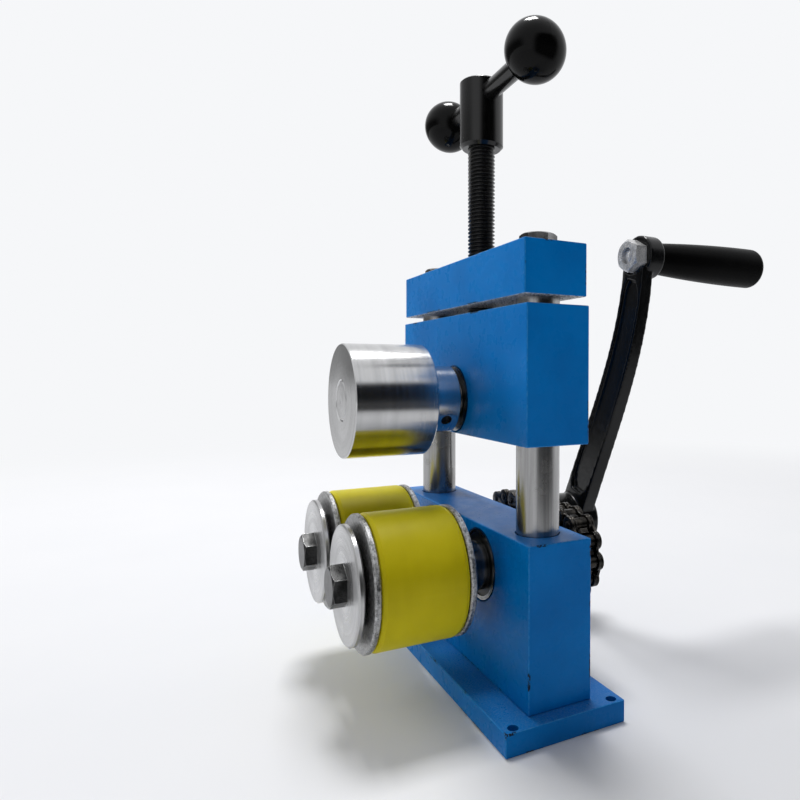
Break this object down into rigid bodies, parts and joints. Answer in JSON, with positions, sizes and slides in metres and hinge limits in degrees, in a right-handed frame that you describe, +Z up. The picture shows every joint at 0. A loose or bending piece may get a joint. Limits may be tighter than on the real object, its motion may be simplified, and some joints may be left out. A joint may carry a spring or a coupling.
{
  "type": "ring roller",
  "caption": "Bench ring roller: a screw-pressed steel roller above two crank-turned, chain-coupled polyurethane rollers on a blue steel frame.",
  "frame": {"origin": "centre of the base plate's underside", "axes": "+Z up along the pressing screw; the rollers overhang towards -Y and the crank is at +Y; +X is to the right seen from the rollers"},
  "size_m": [0.219, 0.3445, 0.3978],
  "materials": {
    "bearing_steel": "ground",
    "black_enamel": "gloss enamel",
    "black_plastic": "gloss",
    "black_steel": "black oxide",
    "bronze": "satin",
    "dark_steel": "oiled dark",
    "galvanised_steel": "rough zinc",
    "painted_steel": "gloss enamel",
    "polished_steel": "polished",
    "polyurethane": "translucent",
    "seal_rubber": "matt",
    "turned_steel": "fine turned",
    "zinc_steel": "zinc plated"
  },
  "bodies": {
    "frame": {"base_plate": "painted_steel", "base_screws": "black_steel", "lower_block": "painted_steel", "guide_post_left": "polished_steel", "guide_post_right": "polished_steel", "post_bolts": "zinc_steel", "top_beam": "painted_steel", "lower_bearing_outer_rings": "bearing_steel", "lower_bearing_balls": "bearing_steel", "lower_bearing_seals": "seal_rubber", "chain_inner_plates": "dark_steel", "chain_outer_plates": "dark_steel", "chain_rollers": "dark_steel", "chain_pins": "dark_steel"},
    "drive": {"drive_shaft": "polished_steel", "left_roller_core": "turned_steel", "left_roller_sleeve": "polyurethane", "left_roller_flanges": "galvanised_steel", "left_spacer_ring": "black_steel", "left_clamp_washer": "zinc_steel", "left_end_bolt": "zinc_steel", "drive_bearing_inner_rings": "bearing_steel", "drive_sprocket": "dark_steel", "drive_sprocket_screw": "dark_steel", "crank_arm": "black_enamel", "crank_washer": "zinc_steel", "crank_bolt": "zinc_steel", "grip_spindle": "turned_steel", "spindle_nut": "zinc_steel"},
    "driven": {"driven_shaft": "polished_steel", "right_roller_core": "turned_steel", "right_roller_sleeve": "polyurethane", "right_roller_flanges": "galvanised_steel", "right_spacer_ring": "black_steel", "right_clamp_washer": "zinc_steel", "right_end_bolt": "zinc_steel", "driven_bearing_inner_rings": "bearing_steel", "driven_sprocket": "dark_steel", "driven_sprocket_screw": "dark_steel"},
    "grip": {"grip": "black_plastic"},
    "slider": {"slider_block": "painted_steel", "slider_bearing_outer_rings": "bearing_steel", "slider_bearing_balls": "bearing_steel", "slider_bearing_seals": "seal_rubber", "thrust_washer": "bronze", "screw_retainer_plate": "turned_steel", "retainer_screws": "black_steel"},
    "screw": {"lead_screw": "black_steel", "thrust_collar": "turned_steel", "handle_hub": "black_enamel", "hub_set_screw": "black_steel", "lever_bar": "black_enamel", "ball_knobs": "black_plastic"},
    "press_roller": {"top_roller": "turned_steel", "top_roller_screw": "black_steel", "top_shaft": "polished_steel", "top_shaft_circlip": "black_steel", "slider_bearing_inner_rings": "bearing_steel"}
  },
  "joints": [
    {"name": "crank_turn", "type": "hinge", "parent": "frame", "child": "drive", "pos_m": [-0.0385, 0.001, 0.078], "axis": [0, 1, 0], "continuous": true, "deforming": ["chain_inner_plates", "chain_outer_plates", "chain_rollers", "chain_pins"]},
    {"name": "driven_turn", "type": "hinge", "parent": "frame", "child": "driven", "pos_m": [0.0385, 0.001, 0.078], "axis": [0, 1, 0], "continuous": true},
    {"name": "grip_spin", "type": "hinge", "parent": "drive", "child": "grip", "pos_m": [0.02114, 0.18, 0.27935], "axis": [0, 1, 0], "continuous": true},
    {"name": "screw_turn", "type": "hinge", "parent": "slider", "child": "screw", "pos_m": [0, 0.001, 0.3], "axis": [0, 0, 1], "range_deg": [-5328, 648]},
    {"name": "slider_press", "type": "slide", "parent": "frame", "child": "slider", "axis": [0, 0, 1], "range_m": [-0.037, 0.0045]},
    {"name": "press_roller_spin", "type": "hinge", "parent": "slider", "child": "press_roller", "pos_m": [0, 0.001, 0.1775], "axis": [0, 1, 0], "continuous": true}
  ],
  "couplings": [
    {"joint": "driven_turn", "follows": "crank_turn", "ratio": 1},
    {"joint": "slider_press", "follows": "screw_turn", "m_per_rad": 0.00039789}
  ]
}
